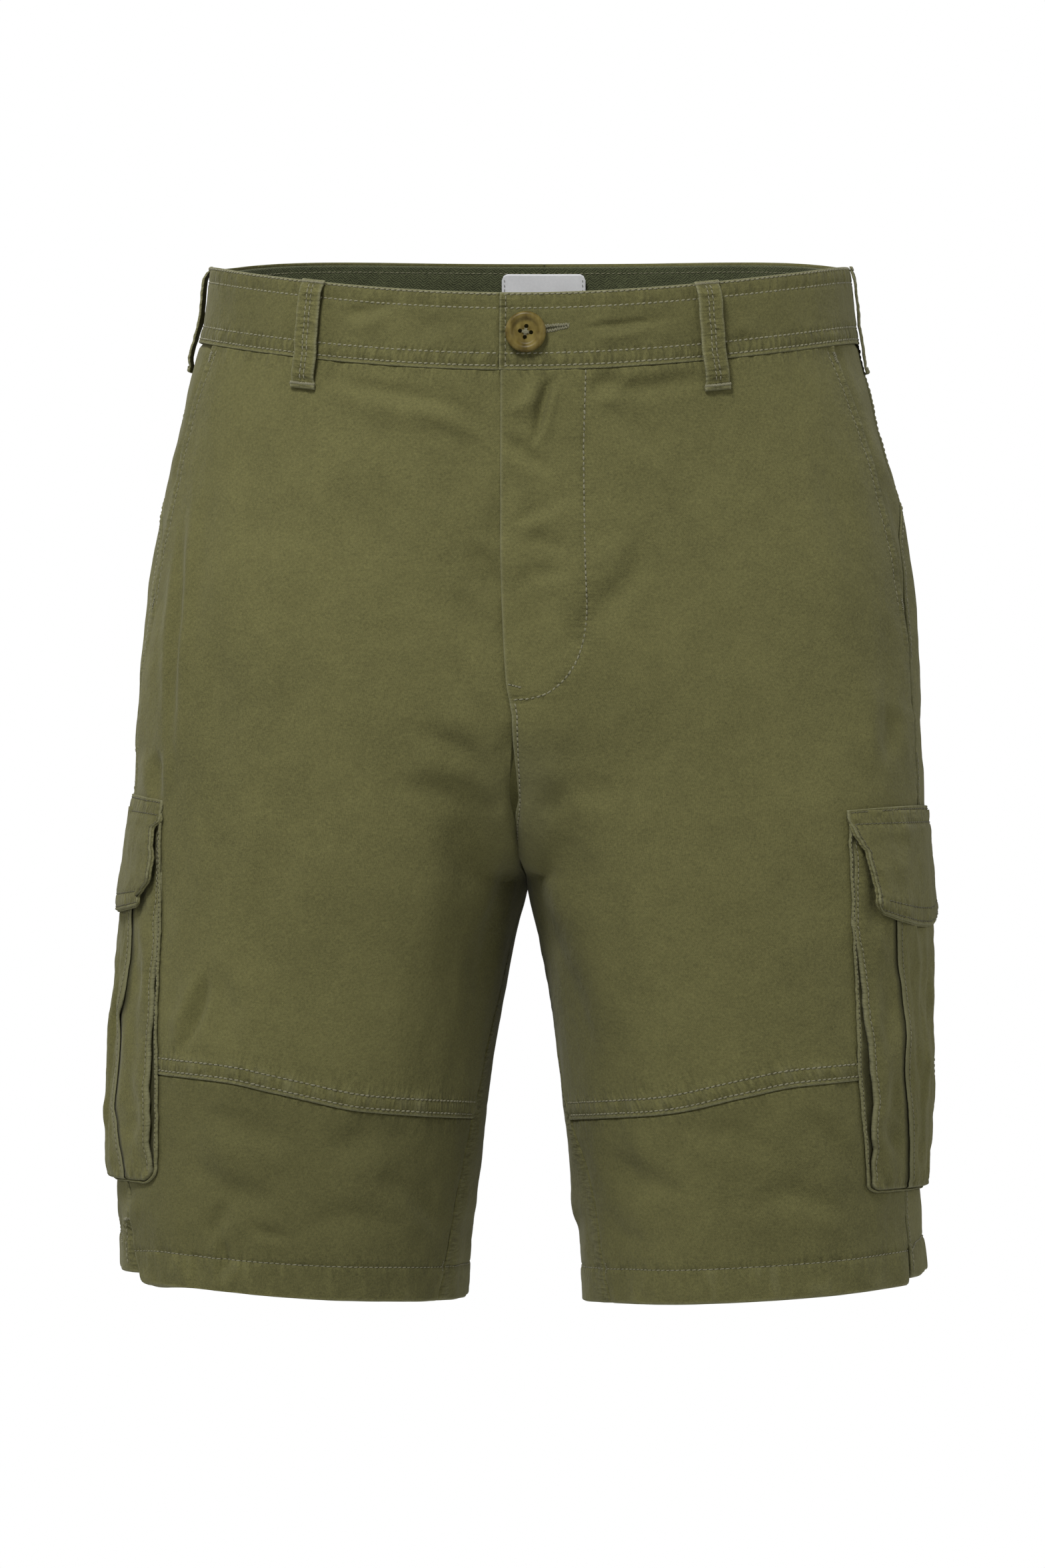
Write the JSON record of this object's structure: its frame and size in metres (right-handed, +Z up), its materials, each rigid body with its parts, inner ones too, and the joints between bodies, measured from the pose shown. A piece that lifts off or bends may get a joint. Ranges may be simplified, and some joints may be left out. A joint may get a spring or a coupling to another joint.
{
  "type": "cargo shorts",
  "caption": "Knee-length cargo shorts in cotton twill, filled out and open at waist and hems, with a fly, belt loops, slanted pockets and a flapped bellows pocket on each thigh.",
  "frame": {"origin": "centre of the waist ring at mid height of the waistband, half way between its front and back", "axes": "+X is the wearer's left, +Y the wearer's back, +Z up; the front faces -Y"},
  "size_m": [0.4192, 0.2479, 0.5244],
  "materials": {
    "olive_twill": "matte cotton twill, garment washed, olive green",
    "dark_herringbone": "matte herringbone tape, dark green",
    "white_label": "white woven label, bare",
    "horn_button": "brown mottled horn look, semi-gloss"
  },
  "bodies": {
    "root": {"back_left": "olive_twill", "back_right": "olive_twill", "belt_loop_back": "olive_twill", "belt_loop_front_left": "olive_twill", "belt_loop_front_right": "olive_twill", "belt_loop_side_left": "olive_twill", "belt_loop_side_right": "olive_twill", "button": "horn_button", "cargo_flap_left": "olive_twill", "cargo_flap_right": "olive_twill", "cargo_gusset_left": "olive_twill", "cargo_gusset_right": "olive_twill", "cargo_pocket_left": "olive_twill", "cargo_pocket_right": "olive_twill", "front_left": "olive_twill", "front_lower_left": "olive_twill", "front_lower_right": "olive_twill", "front_right": "olive_twill", "hip_facing_left": "olive_twill", "hip_facing_right": "olive_twill", "label_blank": "white_label", "waistband_facing_left": "dark_herringbone", "waistband_facing_right": "dark_herringbone", "waistband_left": "olive_twill", "waistband_right": "olive_twill"}
  },
  "joints": []
}
